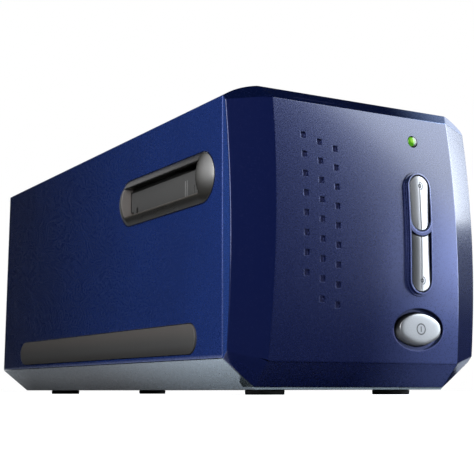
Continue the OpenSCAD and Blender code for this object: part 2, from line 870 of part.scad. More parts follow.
module carriage_tray() {
  t = tray_t;
  color([0.18, 0.18, 0.19]) difference() {
    union() {
      difference() {
        block(-tray_x, tray_x, tray_front, tray_rear, tray_z, tray_top);
        block(t - tray_x, tray_x - t, tray_front + t, tray_rear - t, tray_z + t, tray_top + 1);
      }
      for (side = [-1, 1], y = ear_y) at_side(side) rod_ear(y);
      belt_fork(ear_y[0]);
      for (side = [-1, 1]) at_side(side) intersection() {
        block(tray_x - t - 5, tray_x - t / 2, tray_front + 1, scan_y + 12, tray_z + 1, tray_top);
        mirror_back();
      }
      block(-lens_d / 2 - 2, lens_d / 2 + 2, lens_front + 4, lens_front + lens_l - 4, tray_z + 1, optic_z);
    }
    for (side = [-1, 1]) bar_y(rod_r + run, side * rod_x, tray_front, tray_rear, rod_z);
    bar_y(lens_d / 2 + 0.02, 0, lens_front - 1, lens_front + lens_l + 1, optic_z);
  }
}

module fold_mirror() {
  x = tray_x - tray_t - 0.3;
  color([0.85, 0.88, 0.9]) translate([0, scan_y, optic_z]) rotate([45, 0, 0])
    translate([-x, -mirror_t, -mirror_l / 2]) cube([2 * x, mirror_t, mirror_l]);
}

module lamp_arm() {
  color([0.55, 0.56, 0.58]) for (side = [-1, 1]) at_side(side) {
    block(tray_x - arm_t, tray_x, arm_front, arm_rear, tray_top, beam_top);
    block(tray_x - arm_t, tray_x, lamp_rear, arm_rear, beam_z, beam_top);
    block(-1, tray_x, arm_rear - 3, arm_rear, beam_z, beam_top);
  }
}

module lamp_housing() {
  t = lamp_t;
  color([0.2, 0.2, 0.22]) difference() {
    union() {
      block(-tray_x, tray_x, lamp_front, lamp_rear, beam_z, lamp_z);
      bar_x(lamp_r, -tray_x, tray_x, scan_y, lamp_z);
    }
    block(-tray_x - 1, tray_x + 1, lamp_front - 1, lamp_rear + 1, lamp_z - far, beam_z);
    block(t - tray_x, tray_x - t, lamp_front + t, lamp_rear - t, beam_z - 1, lamp_z);
    bar_x(lamp_r - t, t - tray_x, tray_x - t, scan_y, lamp_z);
  }
}

module lamp_tube() {
  color([0.98, 0.98, 0.95]) bar_x(2, lamp_t - tray_x, tray_x - lamp_t, scan_y, lamp_z + 1);
}

module lamp_diffuser() {
  margin = lamp_t + 0.2;
  color([0.95, 0.95, 0.9])
    block(margin - tray_x, tray_x - margin, lamp_front + margin, lamp_rear - margin, beam_z + 0.4, beam_z + 1.4);
}

module lens_barrel() {
  y0 = lens_front;
  y1 = lens_front + lens_l;
  color([0.08, 0.08, 0.09]) difference() {
    union() {
      bar_y(lens_d / 2, 0, y0 + 3, y1, optic_z);
      bar_y(lens_d / 2 - 1.5, 0, y0, y1 - 1, optic_z);
    }
    bar_y(lens_d / 2 - 3.5, 0, y0 - 1, y1 + 1, optic_z);
    bar_y(lens_d / 2 - 2.5, 0, y0 - 1, y0 + 2.5, optic_z);
  }
}

module lens_glass() {
  bow = 24;
  color([0.7, 0.8, 0.85]) intersection() {
    bar_y(lens_d / 2 - 2.55, 0, lens_front + 0.3, lens_front + 2.5, optic_z);
    translate([0, lens_front + 0.3 + bow, optic_z]) sphere(r = bow, $fn = 3 * fine);
  }
}

module sensor_board() {
  y = tray_rear - tray_t;
  x = tray_x - tray_t - 0.3;
  color([0.1, 0.32, 0.2]) {
    block(-x, x, y - board_t, y, tray_z + tray_t, tray_top - 2);
    block(-15, 15, y - board_t - 3, y - board_t, optic_z - 4, optic_z + 4);
  }
}

// ---------- Belt drive ----------
// A gear about X with straight-flanked teeth; turn sets the place of a tooth, counted from +Y towards +Z
module gear(teeth, width, x0, y, z, turn) {
  pitch_r = teeth * tooth_m / 2;
  root = pitch_r - 1.2 * tooth_m;
  tip = pitch_r + 0.85 * tooth_m;
  flank = [[root, -0.25], [tip, -0.1], [tip, 0.1], [root, 0.25]];
  translate([x0, y, z]) rotate([90, 0, 90]) linear_extrude(width) rotate(turn)
    polygon([
      for (tooth = [0 : teeth - 1], p = flank)
        p[0] * [cos((tooth + p[1]) * 360 / teeth), sin((tooth + p[1]) * 360 / teeth)]
    ]);
}

module motor_bracket() {
  x0 = bracket_x - sheet;
  low_y = drive_y - 8;
  color([0.6, 0.61, 0.63]) difference() {
    union() {
      block(x0, bracket_x, low_y, chassis_rear - 1, deck_z, belt_z + 8);
      block(x0 - 10, x0 + sheet / 2, low_y, low_y + 8, deck_z, deck_z + sheet);
    }
    bar_x(axle_r + 0.02, x0 - 1, bracket_x + 1, drive_y, belt_z);
    bar_x(pinion_r + 1.2, x0 - 1, bracket_x + 1, motor_y, motor_z);
  }
}

module drive_motor() {
  face_x = bracket_x - sheet;
  color([0.5, 0.51, 0.53]) {
    bar_x(motor_d / 2, face_x - motor_l, face_x, motor_y, motor_z);
    bar_x(4.4, face_x - motor_l - 2, face_x, motor_y, motor_z);
    bar_x(1, face_x - 1, gear_x + gear_w + 1, motor_y, motor_z);
  }
}

module motor_pinion() {
  color([0.8, 0.7, 0.35]) difference() {
    gear(pinion_teeth, gear_w, gear_x, motor_y, motor_z, 180 - mesh_angle + 180 / pinion_teeth);
    bar_x(1 + run, gear_x - 1, gear_x + gear_w + 1, motor_y, motor_z);
  }
}

module gear_axle() {
  x1 = gear_x + gear_w + 1.4;
  color([0.8, 0.81, 0.83]) {
    bar_x(axle_r, bracket_x - sheet, x1, drive_y, belt_z);
    bar_x(axle_r + 1, x1 - 1.2, x1, drive_y, belt_z);
  }
}

module pulley(y) {
  half = belt_w / 2;
  bar_x(pulley_r - belt_gap, belt_x - half - pulley_flange, belt_x + half + pulley_flange, y, belt_z);
  for (x = [belt_x - half - pulley_flange, belt_x + half + 0.2])
    bar_x(pulley_r + 1.6, x, x + pulley_flange - 0.2, y, belt_z);
}

module belt_gear() {
  color([0.86, 0.86, 0.82]) difference() {
    union() {
      pulley(drive_y);
      bar_x(4, belt_x, gear_x + 1, drive_y, belt_z);
      gear(gear_teeth, gear_w, gear_x, drive_y, belt_z, -mesh_angle);
    }
    bar_x(axle_r + run, bracket_x, gear_x + gear_w + 1, drive_y, belt_z);
  }
}

module idler_bracket() {
  x0 = idler_bracket_x;
  color([0.6, 0.61, 0.63]) difference() {
    union() {
      block(x0, x0 + sheet, idler_y - 6, idler_y + 6, deck_z, belt_z + 6);
      block(x0 - 8, x0 + sheet / 2, idler_y - 6, idler_y + 6, deck_z, deck_z + sheet);
    }
    bar_x(axle_r + 0.02, x0 - 1, x0 + sheet + 1, idler_y, belt_z);
  }
}

module idler_axle() {
  x0 = belt_x - belt_w / 2 - pulley_flange - 1.4;
  color([0.8, 0.81, 0.83]) {
    bar_x(axle_r, x0, idler_bracket_x + sheet, idler_y, belt_z);
    bar_x(axle_r + 1, x0, x0 + 1.2, idler_y, belt_z);
  }
}

module idler_pulley() {
  color([0.86, 0.86, 0.82]) difference() {
    pulley(idler_y);
    bar_x(axle_r + run, belt_x - belt_w, belt_x + belt_w, idler_y, belt_z);
  }
}

module belt_loop(r) {
  for (y = [idler_y, drive_y]) translate([y, belt_z]) circle(r = r, $fn = fine);
  translate([idler_y, belt_z - r]) square([drive_y - idler_y, 2 * r]);
}

module drive_belt() {
  color([0.1, 0.1, 0.11]) translate([belt_x - belt_w / 2, 0, 0]) rotate([90, 0, 90])
    linear_extrude(belt_w) difference() {
      belt_loop(pulley_r + belt_t);
      belt_loop(pulley_r);
    }
}

// ---------- Boards, sockets and screws ----------
module main_board() {
  color([0.1, 0.35, 0.2]) difference() {
    union() {
      block(-board_x, board_x, board_y, board_y + board_t, board_low, board_high);
      block(-8, 8, board_y - 2, board_y + 0.1, board_low + 26, board_low + 42);
      block(20, 34, board_y - 1.6, board_y + 0.1, board_low + 24, board_low + 34);
    }
    for (x = standoff_x, z = standoff_z) bar_y(1.2, x, board_y - 1, board_y + board_t + 1, z);
  }
}

module usb_socket() {
  x = usb_x - usb[0] / 2;
  y = board_y + board_t;
  color([0.72, 0.73, 0.75]) difference() {
    block(x, x + usb[0], y, y + usb[1], port_z, port_z + usb[2]);
    block(x + 1.4, x + usb[0] - 1.4, y + 5, y + usb[1] + 1, port_z + 1.2, port_z + usb[2] - 1.6);
  }
  color([0.95, 0.95, 0.95])
    block(usb_x - 2.8, usb_x + 2.8, y + 4.9, y + usb[1] - 1.5, port_z + 3.4, port_z + 6.8);
}

module power_inlet() {
  x = inlet_x - inlet[0] / 2;
  y = board_y + board_t;
  mid_z = port_z + inlet[2] / 2;
  color([0.06, 0.06, 0.07]) difference() {
    block(x, x + inlet[0], y, y + inlet[1], port_z, port_z + inlet[2]);
    bar_y(3.2, inlet_x, y + 4, y + inlet[1] + 1, mid_z);
  }
  color([0.8, 0.8, 0.8]) bar_y(1, inlet_x, y + 3.9, y + inlet[1] - 1, mid_z);
}

module case_screws() {
  color([0.35, 0.35, 0.37]) for (side = [-1, 1], y = case_y) at_side(side) {
    bar_z(head_r, case_x, y, foot_h + 0.2, foot_h + 0.2 + head_h);
    bar_z(screw_r - 0.02, case_x, y, foot_h + 1, tab_z + tab_h + 0.5);
  }
}

module chassis_screws() {
  color([0.7, 0.71, 0.73]) for (side = [-1, 1], y = chassis_boss_y) at_side(side) {
    bar_z(head_r, chassis_boss_x, y, deck_z, deck_z + 1.6);
    bar_z(screw_r - 0.02, chassis_boss_x, y, foot_h + 1.5, deck_z + 1);
  }
}

upper_shell();
base_pan();
rear_panel();
front_bezel();
at_side(-1) slot_surround();  // slot_surround_left
at_side(1) slot_surround();  // slot_surround_right
at_side(-1) dust_flap();  // dust_flap_left
at_side(1) dust_flap();  // dust_flap_right
at_side(-1) flap_pin();  // flap_pin_left
at_side(1) flap_pin();  // flap_pin_right
at_side(-1) side_grip();  // side_grip_left
at_side(1) side_grip();  // side_grip_right
feet();
scan_button_upper();
scan_button_lower();
power_button();
status_light();
control_board();
key_switches();
status_led();
film_tunnel();
chassis_plate();
rod_bracket(rod_front, rod_front);  // rod_bracket_front
rod_bracket(rod_rear - sheet, rod_rear - 9);  // rod_bracket_rear
guide_rods();
carriage_tray();
lamp_arm();
lamp_housing();
lamp_tube();
lamp_diffuser();
fold_mirror();
lens_barrel();
lens_glass();
sensor_board();
motor_bracket();
drive_motor();
motor_pinion();
gear_axle();
belt_gear();
idler_bracket();
idler_axle();
idler_pulley();
drive_belt();
main_board();
usb_socket();
power_inlet();
case_screws();
chassis_screws();
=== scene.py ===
"""Film negative scanner: the looks of a desktop film scanner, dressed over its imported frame."""

import json
import math

import bmesh
import bpy
from bpy.props import FloatProperty, FloatVectorProperty, PointerProperty
from bpy.types import Operator, Panel, PropertyGroup
from mathutils import Matrix, Vector

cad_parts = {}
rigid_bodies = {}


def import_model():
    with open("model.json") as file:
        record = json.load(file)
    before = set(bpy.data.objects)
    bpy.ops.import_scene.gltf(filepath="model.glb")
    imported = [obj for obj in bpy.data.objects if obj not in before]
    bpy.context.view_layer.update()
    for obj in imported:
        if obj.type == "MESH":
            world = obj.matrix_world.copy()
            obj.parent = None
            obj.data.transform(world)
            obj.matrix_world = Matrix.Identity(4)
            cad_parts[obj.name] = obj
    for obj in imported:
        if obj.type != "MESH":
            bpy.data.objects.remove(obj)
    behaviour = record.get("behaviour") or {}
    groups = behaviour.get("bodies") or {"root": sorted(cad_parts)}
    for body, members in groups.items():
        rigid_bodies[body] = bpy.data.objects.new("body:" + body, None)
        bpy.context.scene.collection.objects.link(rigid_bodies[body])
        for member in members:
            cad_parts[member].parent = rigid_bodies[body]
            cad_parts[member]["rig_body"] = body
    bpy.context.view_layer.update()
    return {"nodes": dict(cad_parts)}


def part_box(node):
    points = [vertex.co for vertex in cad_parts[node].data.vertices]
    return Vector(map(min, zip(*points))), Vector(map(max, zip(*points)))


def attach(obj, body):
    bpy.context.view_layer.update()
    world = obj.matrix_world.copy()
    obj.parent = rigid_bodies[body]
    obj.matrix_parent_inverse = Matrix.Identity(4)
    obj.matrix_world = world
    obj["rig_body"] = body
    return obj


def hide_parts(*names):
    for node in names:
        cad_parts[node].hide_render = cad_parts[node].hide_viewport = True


bl_info = {
    "name": "Film negative scanner",
    "version": (1, 0, 0),
    "blender": (4, 5, 0),
    "location": "3D View > Sidebar > Scanner",
    "description": "Builds a desktop film scanner round its packed frame",
    "category": "Add Mesh",
}

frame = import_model()

# The bulge of the front face: its foremost line, its radius and its height
FACE_Y, FACE_R, FACE_Z = -0.134, 0.35, 0.06325
# The middle of the button plinth in the frame, and how far right of it the photograph has it
PLINTH_X, PLINTH_SHIFT = 0.0223, 0.0017
PLINTH_SEEN_X = PLINTH_X + PLINTH_SHIFT
# The middle of the dish round the power button, its half width and half height
DISH_X, DISH_Z, DISH_W, DISH_H = 0.0246, 0.0261, 0.0128, 0.0086
# The middle of the status light, and of the film slot in a side wall
LIGHT_X, LIGHT_Z = 0.024, 0.1036
SLOT_Y, SLOT_Z = -0.0701, 0.0849


# Shader maths

class Flow:
    """A value, colour or vector on its way through a material, with arithmetic on values."""

    def __init__(self, paint, socket):
        self.paint = paint
        self.socket = socket

    def maths(self, operation, *values, clamp=False):
        settings = {"operation": operation, "use_clamp": clamp}
        return self.paint.node("ShaderNodeMath", settings, dict(enumerate(values)))

    def __add__(self, other):
        return self.maths("ADD", self, other)

    __radd__ = __add__

    def __sub__(self, other):
        return self.maths("SUBTRACT", self, other)

    def __rsub__(self, other):
        return self.maths("SUBTRACT", other, self)

    def __mul__(self, other):
        return self.maths("MULTIPLY", self, other)

    __rmul__ = __mul__

    def __truediv__(self, other):
        return self.maths("DIVIDE", self, other)

    def __rtruediv__(self, other):
        return self.maths("DIVIDE", other, self)

    def __abs__(self):
        return self.maths("ABSOLUTE", self)

    def __gt__(self, other):
        return self.maths("GREATER_THAN", self, other)

    def __lt__(self, other):
        return self.maths("LESS_THAN", self, other)

    def clipped(self):
        return self.maths("ADD", self, 0.0, clamp=True)

    def root(self):
        return self.maths("SQRT", self)

    def fraction(self):
        return self.maths("FRACT", self)

    def greater(self, other):
        return self.maths("MAXIMUM", self, other)

    def lesser(self, other):
        return self.maths("MINIMUM", self, other)

    def step(self, start, end):
        """0 before start, 1 after end, smooth between them."""
        settings = {"interpolation_type": "SMOOTHSTEP"}
        values = {"Value": self, "From Min": start, "From Max": end}
        return self.paint.node("ShaderNodeMapRange", settings, values)


def apart(across, up):
    """The distance of a place from a point, from how far it is across and up."""
    return (across * across + up * up).root()


class Paint:
    """One material while its nodes are laid out."""

    def __init__(self, name):
        self.material = bpy.data.materials.new(name)
        self.material.use_nodes = True
        self.tree = self.material.node_tree
        self.shader = self.tree.nodes["Principled BSDF"]

    def node(self, kind, settings=None, values=None, output=0):
        """Any node: its type, then its settings, then the values or links of its sockets."""
        made = self.tree.nodes.new(kind)
        for name, setting in (settings or {}).items():
            setattr(made, name, setting)
        for name, value in (values or {}).items():
            self.feed(made.inputs[name], value)
        return Flow(self, made.outputs[output])

    def feed(self, socket, value):
        if isinstance(value, Flow):
            self.tree.links.new(value.socket, socket)
        elif socket.type == "RGBA" and len(value) == 3:
            socket.default_value = (*value, 1.0)
        else:
            socket.default_value = value

    def set(self, **values):
        """Sockets of the shader, with underscores for spaces in their names."""
        for name, value in values.items():
            self.feed(self.shader.inputs[name.replace("_", " ")], value)

    def place(self):
        """Place on the piece in metres, in the piece's own frame."""
        return self.node("ShaderNodeTexCoord", output=3)

    def axes(self, vector=None):
        """The x, y and z of a vector, or of the place."""
        first = self.node("ShaderNodeSeparateXYZ", None, {0: vector or self.place()})
        return [Flow(self, out) for out in first.socket.node.outputs]

    def facing(self):
        """The x, y and z of the surface normal in the piece's own frame."""
        return self.axes(self.node("ShaderNodeTexCoord", output=1))

    def noise(self, size, detail=2.0, roughness=0.5, stretch=(1.0, 1.0, 1.0)):
        """Cloudy noise with features of about size metres, 0 to 1."""
        scale = [part / size for part in stretch]
        at = self.node("ShaderNodeMapping", None, {"Vector": self.place(), "Scale": scale})
        values = {"Vector": at, "Scale": 1.0, "Detail": detail, "Roughness": roughness}
        return self.node("ShaderNodeTexNoise", None, values)

    def cells(self, size, output=0):
        """Cells of about size metres: their distance, or with output 1 their random colour."""
        scale = [1.0 / size] * 3
        at = self.node("ShaderNodeMapping", None, {"Vector": self.place(), "Scale": scale})
        return self.node("ShaderNodeTexVoronoi", None, {"Vector": at, "Scale": 1.0}, output)

    def mix(self, factor, first, second):
        """Two colours mixed by a factor; 6, 7 and 2 are the node's colour sockets."""
        values = {0: factor, 6: first, 7: second}
        return self.node("ShaderNodeMix", {"data_type": "RGBA"}, values, 2)

    def bump(self, height, depth, strength=1.0, normal=None):
        """A bumped normal; depth is in metres for a height of 1."""
        values = {"Height": height, "Distance": depth, "Strength": strength}
        if normal:
            values["Normal"] = normal
        return self.node("ShaderNodeBump", None, values)

    def edge_highlight_mask(self, radius):
        """1 at convex edges and 0 elsewhere, from how the normal turns within radius: where edge
        highlights are painted.
        """
        bevel = self.node("ShaderNodeBevel", {"samples": 4}, {"Radius": radius})
        true = self.node("ShaderNodeNewGeometry", output=1)
        settings = {"operation": "DOT_PRODUCT"}
        dot = self.node("ShaderNodeVectorMath", settings, {0: bevel, 1: true}, 1)
        return (1.0 - dot).step(0.02, 0.2)


class Backdrop(Paint):
    """The world's nodes, laid out as a material's are."""

    def __init__(self, name):
        self.world = bpy.data.worlds.new(name)
        self.world.use_nodes = True
        self.tree = self.world.node_tree
        self.shader = self.tree.nodes["Background"]


def painted(red, green, blue):
    """A colour given as it looks on screen, 0 to 255, as Blender counts it."""
    parts = [part / 255 for part in (red, green, blue)]
    return tuple(p / 12.92 if p <= 0.04045 else ((p + 0.055) / 1.055) ** 2.4 for p in parts)


# Sizes and colours

def distance(name, text, value, low, high):
    """A length in metres that the panel shows in the scene's units."""
    return FloatProperty(
        name=name, description=text, default=value, min=low, max=high, unit="LENGTH", precision=5
    )


def colour(name, text, value):
    """A colour that the panel shows as a swatch."""
    return FloatVectorProperty(
        name=name, description=text, default=value, min=0.0, max=1.0, size=3, subtype="COLOR"
    )


def share(name, text, value):
    """A share from 0 to 1."""
    return FloatProperty(
        name=name, description=text, default=value, min=0.0, max=1.0, subtype="FACTOR"
    )


def angle(name, text, value):
    """An angle of the camera."""
    return FloatProperty(name=name, description=text, default=value, subtype="ANGLE")


def watts(name, text, value):
    """The power of a lamp."""
    return FloatProperty(name=name, description=text, default=value, min=0.0, unit="POWER")


class CasingLooks(PropertyGroup):
    """Finish of the painted casing."""

    navy: colour("Shell navy", "Colour of the paint on the upper shell", painted(31, 53, 117))
    bezel: colour("Bezel navy", "Colour of the paint on the front bezel", painted(13, 22, 64))
    deep: colour("Deep navy", "Colour of the clouds in the paint", painted(14, 20, 56))
    silver: colour("Silver", "Colour of the lower casing", painted(128, 142, 152))
    edge: distance("Edge", "Radius of the moulded edges", 0.00045, 0.0001, 0.0012)
    gloss: share("Roughness", "Roughness of the paint", 0.28)
    flake: distance("Flake", "Size of the metal flakes in the paint", 0.00035, 0.0001, 0.001)


class TrimLooks(PropertyGroup):
    """Finish of the buttons, rubber and black trim."""

    silver: colour("Button silver", "Colour of the scan buttons", painted(156, 157, 162))
    power: colour("Power button", "Colour of the power button", painted(140, 142, 147))
    mark: colour("Symbols", "Colour of the small symbols", painted(26, 27, 34))
    light: colour("Status light", "Colour of the status light", painted(62, 128, 16))
    rubber: colour("Rubber", "Colour of the grips and feet", painted(56, 56, 56))
    trim: colour("Trim", "Colour of the slot surround", painted(36, 35, 33))
    flap: colour("Flap", "Colour of the dust flap", painted(66, 66, 66))


class StudioLooks(PropertyGroup):
    """Camera, floor and lamps."""

    lens: FloatProperty(
        name="Lens", description="Focal length of the camera", default=0.08136, unit="CAMERA"
    )
    place: FloatVectorProperty(
        name="Camera", description="Place of the camera", subtype="TRANSLATION", unit="LENGTH",
        default=(-0.2567, -0.4703, 0.00141)
    )
    yaw: angle("Yaw", "Turn of the camera", 0.526)
    pitch: angle("Pitch", "Tilt of the camera", 0.143)
    roll: angle("Roll", "Roll of the camera", -0.001)
    key: watts("Key", "Power of the front right lamp", 42.0)
    side: watts("Side", "Power of the left lamp", 1.9)
    sky: share("Sky", "Strength of the even light all round", 0.1)


LOOKS = {"casing": CasingLooks, "trim": TrimLooks, "studio": StudioLooks}


def looks(name):
    """The settings of one group on the scene."""
    return getattr(bpy.context.scene, "scanner_" + name)


# Meshes

def piece(name, mesh, finish, body, *nodes):
    """An object that rides on a body and stands for the CAD nodes named after it."""
    made = bpy.data.objects.new(name, mesh)
    bpy.context.scene.collection.objects.link(made)
    made.data.materials.append(finish)
    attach(made, body)
    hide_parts(*nodes)
    return made


def body_of(node):
    """The body that a CAD node rides on."""
    return frame["nodes"][node]["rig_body"]


def joined_faces(node):
    """A bmesh of a CAD node with its flat triangles joined up."""
    weld, flat = 2e-6, math.radians(0.3)
    work = bmesh.new()
    work.from_mesh(frame["nodes"][node].data)
    bmesh.ops.remove_doubles(work, verts=work.verts, dist=weld)
    bmesh.ops.dissolve_limit(work, angle_limit=flat, verts=work.verts, edges=work.edges)
    return work


def rounded(work, radius, steps, sharp, spared):
    """Rounds every edge that turns by more than sharp degrees, outside the spared region."""
    limit = math.radians(sharp)
    edges = [e for e in work.edges if len(e.link_faces) == 2 and e.calc_face_angle(0) > limit]
    if spared:
        edges = [e for e in edges if not any(spared(v.co) for v in e.verts)]
    bmesh.ops.bevel(
        work, geom=edges, offset=radius, offset_type="OFFSET", segments=steps, profile=0.5,
        affect="EDGES", clamp_overlap=False, material=-1, loop_slide=True
    )
    return work


def finished(work, name):
    """A mesh from a bmesh, shaded smooth."""
    mesh = bpy.data.meshes.new(name)
    for face in work.faces:
        face.smooth = True
    work.to_mesh(mesh)
    work.free()
    return mesh


def barrel_normal(place, barrel):
    """The outward normal at a place on a barrel, or None away from it."""
    axis, centre, radius = barrel
    thin = 0.00006
    out = Vector(place) - Vector(centre)
    out[axis] = 0.0
    return out.normalized() if abs(out.length - radius) < thin else None


def shaded(work, name, barrels):
    """A mesh whose large faces stay evenly shaded beside rounded edges.

    Where a corner lies on a barrel, it takes the barrel's own normal.
    """
    near, same = math.cos(math.radians(40)), math.cos(math.radians(7))
    areas = {face: face.calc_area() for face in work.faces}
    normals = []
    for face in work.faces:
        face.smooth = True
        for vertex in face.verts:
            around = [other for other in vertex.link_faces if other.normal.dot(face.normal) > near]
            best = sum((other.normal * areas[other] for other in around), Vector())
            trues = [
                true for true in (barrel_normal(vertex.co, barrel) for barrel in barrels)
                if true and any(other.normal.dot(true) > same for other in around)
            ]
            true = max(trues, key=face.normal.dot, default=None)
            if true and face.normal.dot(true) > near:
                best = true
            normals.append(best.normalized() if best.length > 0 else face.normal.copy())
    mesh = bpy.data.meshes.new(name)
    work.to_mesh(mesh)
    work.free()
    mesh.normals_split_custom_set(normals)
    return mesh


def dressed(node, finish, radius=0.0003, steps=2, sharp=28, spared=None, barrels=()):
    """A CAD node's shape with rounded edges and a finish, in place of the node."""
    work = rounded(joined_faces(node), radius, steps, sharp, spared)
    work.normal_update()
    mesh = shaded(work, node + "_finished", barrels)
    return piece(node + "_finished", mesh, finish, body_of(node), node)


def lowered(made, wall=0.0):
    """Sets the plinth or a scan button as low over the face and as far right as in the photograph.

    wall is the depth in the bezel to which its wells move with the plinth, and 0 for a button,
    which moves whole and is crowned from side to side.
    """
    foot_w, foot_low, foot_high = 0.0068, 0.0385, 0.0915
    well_w, well_low, well_high = 0.0055, 0.0405, 0.0893
    crown_r = 0.012
    mesh = made.data
    normals = [corner.vector.copy() for corner in mesh.corner_normals]
    for vertex in mesh.vertices:
        x, y, z = vertex.co
        face = FACE_Y + (z - FACE_Z) ** 2 / (2 * FACE_R)
        rise, beside = y - face, abs(x - PLINTH_X)
        if beside < foot_w and foot_low < z < foot_high and rise < 0.0001:
            vertex.co.x += PLINTH_SHIFT
            if wall:
                rise = rise / 2
            else:
                rise = rise + 0.002 if rise < -0.0025 else rise / 5
            vertex.co.y = face + rise
        elif not wall or (beside < well_w and well_low < z < well_high and rise < wall):
            vertex.co.x += PLINTH_SHIFT
    for loop in mesh.loops:
        normal = normals[loop.index]
        if not wall and normal.y < -0.9:
            across = mesh.vertices[loop.vertex_index].co.x - PLINTH_SEEN_X
            normals[loop.index] = Vector((across / crown_r, -1.0, normal.z)).normalized()
    mesh.normals_split_custom_set(normals)


def lofted(name, rings):
    """A closed mesh through rings of as many points each, from its back to its front."""
    work = bmesh.new()
    rows = [[work.verts.new(place) for place in ring] for ring in rings]
    for back, front in zip(rows, rows[1:]):
        for i, corner in enumerate(back):
            j = (i + 1) % len(back)
            work.faces.new((corner, back[j], front[j], front[i]))
    work.faces.new(rows[0])
    work.faces.new(rows[-1])
    bmesh.ops.recalc_face_normals(work, faces=work.faces)
    return finished(work, name)


def coat(node, finish):
    """A finish in every material slot of a CAD node that keeps its own mesh."""
    slots = frame["nodes"][node].material_slots
    if not slots:
        raise RuntimeError(node + " has no material slot")
    for slot in slots:
        slot.material = finish


# Finishes

def lifted(base, times, added):
    """A paler form of a colour."""
    return tuple(min(1.0, part * times + added) for part in base)


def metallic_paint(name, base, deep, metal_share, coat_weight=0.5, dress=None):
    """Satin paint with fine metal flakes, cloudy depth and a painted highlight along convex edges.

    dress takes the paint and its colour, and gives the colour with the piece's own tones, painted
    shade and painted highlights, and how much less coat there is.
    """
    set_up = looks("casing")
    paint = Paint(name)
    soft = paint.node("ShaderNodeBevel", {"samples": 6}, {"Radius": 0.0004})
    sparkle = paint.axes(paint.cells(set_up.flake, 1))[0]
    cloud = paint.noise(0.05, 3.0)
    body = paint.mix((cloud - 0.35).clipped() * 0.5, base, deep)
    dull = 0.0
    if dress:
        body, dull = dress(paint, body)
    body = paint.mix(sparkle.step(0.86, 1.0) * 0.12, body, lifted(base, 2.2, 0.03))
    # Painted highlight along convex edges
    body = paint.mix(paint.edge_highlight_mask(0.0006) * 0.3, body, lifted(base, 1.7, 0.02))
    grain = paint.noise(0.0011, 2.0)
    roughness = (sparkle - 0.5) * 0.05 + (cloud - 0.5) * 0.06 + set_up.gloss
    paint.set(
        Base_Color=body,
        Metallic=metal_share,
        Roughness=roughness * (1.0 - dull * 0.6),
        Specular_IOR_Level=0.3,
        Specular_Tint=(0.8, 0.88, 1.0),
        Coat_Weight=coat_weight * (1.0 - dull),
        Coat_Roughness=0.14,
        Normal=paint.bump(sparkle * 0.4 + grain * 0.3, 0.00002, 0.035, soft)
    )
    return paint.material


def moulded(
    name, base, roughness=0.5, size=0.0006, depth=0.00003, lift=1.6, spec=0.4, dress=None
):
    """Moulded plastic or rubber with a fine spark-eroded texture and a painted highlight along
    convex edges.
    """
    paint = Paint(name)
    grain = paint.noise(size, 3.0, 0.6)
    cloud = paint.noise(0.03, 3.0)
    light = lifted(base, lift, 0.004)
    body = paint.mix((cloud - 0.3).clipped() * 0.4, base, light)
    # Painted highlight along convex edges
    body = paint.mix(paint.edge_highlight_mask(0.0005) * 0.35, body, light)
    if dress:
        body = dress(paint, body)
    paint.set(
        Base_Color=body,
        Roughness=(grain - 0.5) * 0.15 + (cloud - 0.5) * 0.1 + roughness,
        Specular_IOR_Level=spec,
        Normal=paint.bump(grain, depth, 0.6)
    )
    return paint.material


def metal(name, base, roughness=0.3, stretch=(1.0, 1.0, 1.0), size=0.0004):
    """Plated or ground metal with drawn marks along one axis."""
    paint = Paint(name)
    lines = paint.noise(size, 3.0, 0.7, stretch)
    cloud = paint.noise(0.02, 2.0)
    dark = tuple(c * 0.72 for c in base)
    paint.set(
        Base_Color=paint.mix((lines - 0.3).clipped() * 0.7, base, dark),
        Metallic=1.0,
        Roughness=(lines - 0.5) * 0.2 + (cloud - 0.5) * 0.12 + roughness,
        Normal=paint.bump(lines, 0.00001, 0.4)
    )
    return paint.material


def circuit_board(name, along, across):
    """Green solder resist with copper tracks under it and bare pads."""
    paint = Paint(name)
    axes = paint.axes()
    u, v = axes[along], axes[across]
    bend = paint.noise(0.012, 0.0)
    rows = ((u + bend * 0.006) * 420.0).fraction()
    columns = ((v + bend * 0.004) * 260.0).fraction()
    tracks = abs(rows - 0.5) < 0.17
    crossing = abs(columns - 0.5) < 0.12
    pads = paint.cells(0.0042) < 0.2
    copper = (tracks.greater(crossing) * (paint.noise(0.02, 0.0) > 0.47)).clipped()
    green = paint.mix(copper * 0.75, painted(20, 82, 44), painted(42, 122, 66))
    paint.set(
        Base_Color=paint.mix(pads, green, painted(190, 184, 160)),
        Metallic=pads * 0.8,
        Roughness=pads * 0.1 + 0.32,
        Normal=paint.bump(copper + pads, 0.00004, 0.7)
    )
    return paint.material


def glass(name, tint, roughness=0.05, alpha=0.6):
    """Clear or opal resin or glass with a faint ripple."""
    paint = Paint(name)
    ripple = paint.noise(0.004, 2.0)
    paint.set(
        Base_Color=paint.mix(ripple * 0.3, tint, tuple(c * 0.85 for c in tint)),
        Roughness=ripple * 0.06 + roughness,
        Alpha=alpha,
        Normal=paint.bump(ripple, 0.00001, 0.3)
    )
    return paint.material


# Operators: one for each piece or group of like pieces

